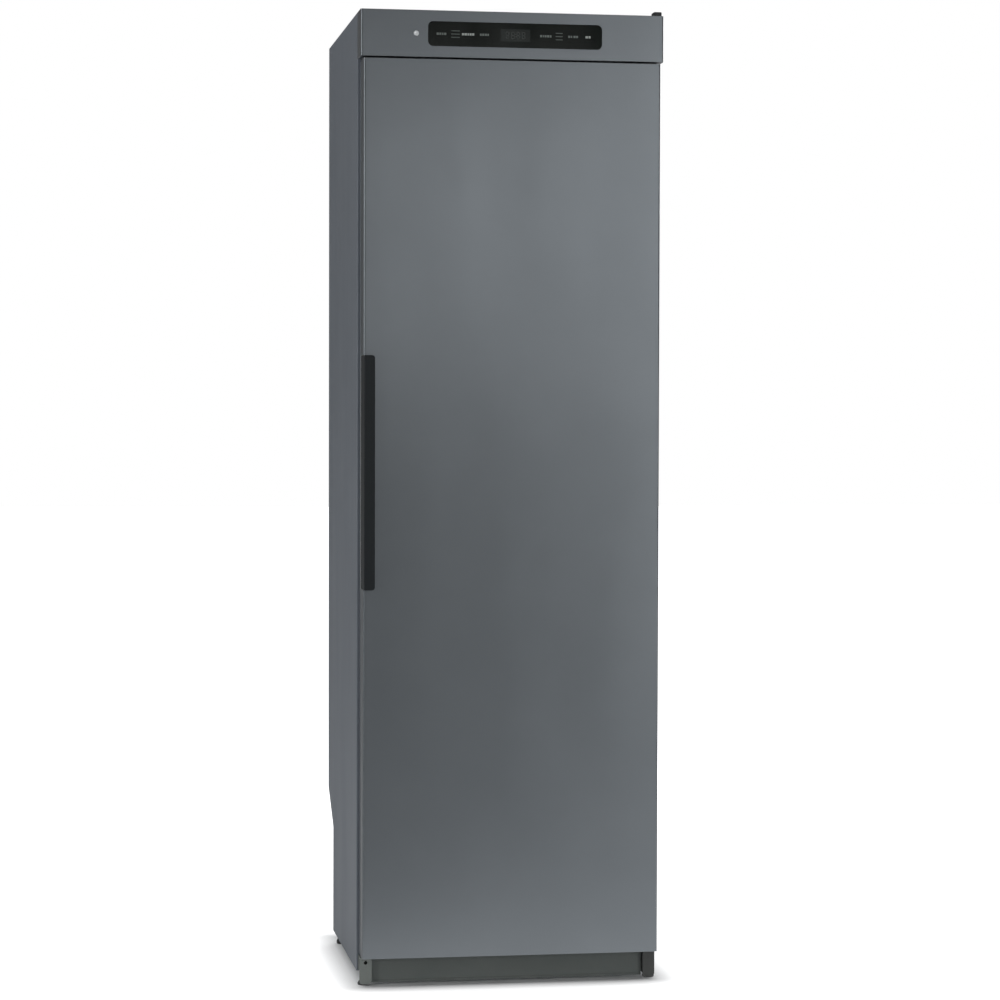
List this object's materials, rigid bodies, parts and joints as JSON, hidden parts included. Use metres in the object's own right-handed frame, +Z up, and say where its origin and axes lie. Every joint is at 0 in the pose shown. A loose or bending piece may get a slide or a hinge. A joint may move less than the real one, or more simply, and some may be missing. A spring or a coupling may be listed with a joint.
{
  "type": "drying cabinet",
  "caption": "Tall free-standing drying cabinet: hinged anthracite door with an edge handle, control fascia above, folding hanging racks and a heat pump in its base.",
  "frame": {"origin": "on the floor, in the middle of the cabinet's footprint, handle included", "axes": "+Z up, +Y towards the back, +X to the right when facing the door"},
  "size_m": [0.595, 0.632, 1.9043],
  "materials": {
    "anthracite_front": "satin metallic anthracite, fine grain",
    "side_paint": "satin anthracite powder coat",
    "zinc_sheet": "zinc coated sheet, faint spangle",
    "chamber_lining": "light grey satin enamel",
    "door_lining": "light grey satin moulding",
    "stainless": "drawn stainless wire",
    "black_plastic": "fine moulded texture",
    "handle_plastic": "satin black moulding",
    "plinth_plastic": "fine moulded texture",
    "bracket_paint": "grey painted steel",
    "bracket_dark": "black painted steel",
    "black_window": "glossy black pane with printed pale marks",
    "silver_plastic": "satin silver",
    "insulation": "matt foam, open cells",
    "circuit_board": "satin solder mask",
    "coil_aluminium": "thin fins, mill finish",
    "compressor_paint": "black enamel",
    "copper_pipe": "dull drawn copper",
    "door_seal": "matt grey elastomer"
  },
  "bodies": {
    "cabinet": {"side_panel_left": "side_paint", "side_panel_right": "side_paint", "top_panel": "side_paint", "back_panel": "zinc_sheet", "recess_panel": "zinc_sheet", "base_tray": "zinc_sheet", "compartment_cover": "side_paint", "chamber_wall_left": "chamber_lining", "chamber_wall_right": "chamber_lining", "insulation_left": "insulation", "insulation_right": "insulation", "chamber_ceiling": "chamber_lining", "chamber_floor": "chamber_lining", "air_duct_wall": "chamber_lining", "humidity_sensor": "black_plastic", "top_rack": "stainless", "upper_rack_bracket": "zinc_sheet", "lower_rack_bracket": "zinc_sheet", "control_fascia": "anthracite_front", "control_window": "black_window", "display_module": "black_plastic", "control_board": "circuit_board", "power_module": "zinc_sheet", "door_switch": "black_plastic", "plinth": "plinth_plastic", "hinge_bracket_left": "bracket_paint", "hinge_bracket_right": "bracket_dark", "front_foot_left": "black_plastic", "front_foot_right": "black_plastic", "rear_foot_left": "black_plastic", "rear_foot_right": "black_plastic", "upper_hinge": "bracket_dark", "hinge_cap": "black_plastic", "evaporator": "coil_aluminium", "condenser": "coil_aluminium", "drip_tray": "black_plastic", "compressor": "compressor_paint", "suction_pipe": "copper_pipe", "discharge_pipe": "copper_pipe", "fan_housing": "black_plastic", "fan_motor": "zinc_sheet", "mains_inlet": "black_plastic"},
    "door": {"door_skin": "anthracite_front", "door_liner": "door_lining", "door_core": "insulation", "door_top_cap": "black_plastic", "door_bottom_cap": "black_plastic", "door_gasket": "door_seal", "door_handle": "handle_plastic"},
    "upper_hanging_rack": {"upper_rack": "stainless"},
    "lower_hanging_rack": {"lower_rack": "stainless"},
    "filter": {"lint_filter": "black_plastic"},
    "fan": {"fan_wheel": "plinth_plastic"},
    "power_key": {"power_button": "silver_plastic"},
    "panel_key_1": {"key_1": "black_window"},
    "panel_key_2": {"key_2": "black_window"},
    "panel_key_3": {"key_3": "black_window"},
    "panel_key_4": {"key_4": "black_window"},
    "panel_key_5": {"key_5": "black_window"},
    "panel_key_6": {"key_6": "black_window"}
  },
  "joints": [
    {"name": "door_hinge", "type": "hinge", "parent": "cabinet", "child": "door", "pos_m": [0.278, -0.267, 0.93], "axis": [0, 0, 1], "range_deg": [0, 110]},
    {"name": "upper_rack_fold", "type": "hinge", "parent": "cabinet", "child": "upper_hanging_rack", "pos_m": [0, 0.223, 1.24], "axis": [-1, 0, 0], "range_deg": [0, 88]},
    {"name": "lower_rack_fold", "type": "hinge", "parent": "cabinet", "child": "lower_hanging_rack", "pos_m": [0, 0.223, 0.8], "axis": [-1, 0, 0], "range_deg": [0, 88]},
    {"name": "filter_lift", "type": "slide", "parent": "cabinet", "child": "filter", "axis": [0, 0, 1], "range_m": [0, 0.2]},
    {"name": "fan_spin", "type": "hinge", "parent": "cabinet", "child": "fan", "pos_m": [0.09, 0.104, 0.172], "axis": [1, 0, 0], "continuous": true},
    {"name": "power_button_press", "type": "slide", "parent": "cabinet", "child": "power_key", "axis": [0, 1, 0], "range_m": [0, 0.002], "stiffness_N_per_m": 400, "springref_m": -0.002},
    {"name": "key_1_press", "type": "slide", "parent": "cabinet", "child": "panel_key_1", "axis": [0, 1, 0], "range_m": [0, 0.001], "stiffness_N_per_m": 600, "springref_m": -0.001},
    {"name": "key_2_press", "type": "slide", "parent": "cabinet", "child": "panel_key_2", "axis": [0, 1, 0], "range_m": [0, 0.001], "stiffness_N_per_m": 600, "springref_m": -0.001},
    {"name": "key_3_press", "type": "slide", "parent": "cabinet", "child": "panel_key_3", "axis": [0, 1, 0], "range_m": [0, 0.001], "stiffness_N_per_m": 600, "springref_m": -0.001},
    {"name": "key_4_press", "type": "slide", "parent": "cabinet", "child": "panel_key_4", "axis": [0, 1, 0], "range_m": [0, 0.001], "stiffness_N_per_m": 600, "springref_m": -0.001},
    {"name": "key_5_press", "type": "slide", "parent": "cabinet", "child": "panel_key_5", "axis": [0, 1, 0], "range_m": [0, 0.001], "stiffness_N_per_m": 600, "springref_m": -0.001},
    {"name": "key_6_press", "type": "slide", "parent": "cabinet", "child": "panel_key_6", "axis": [0, 1, 0], "range_m": [0, 0.001], "stiffness_N_per_m": 600, "springref_m": -0.001}
  ]
}
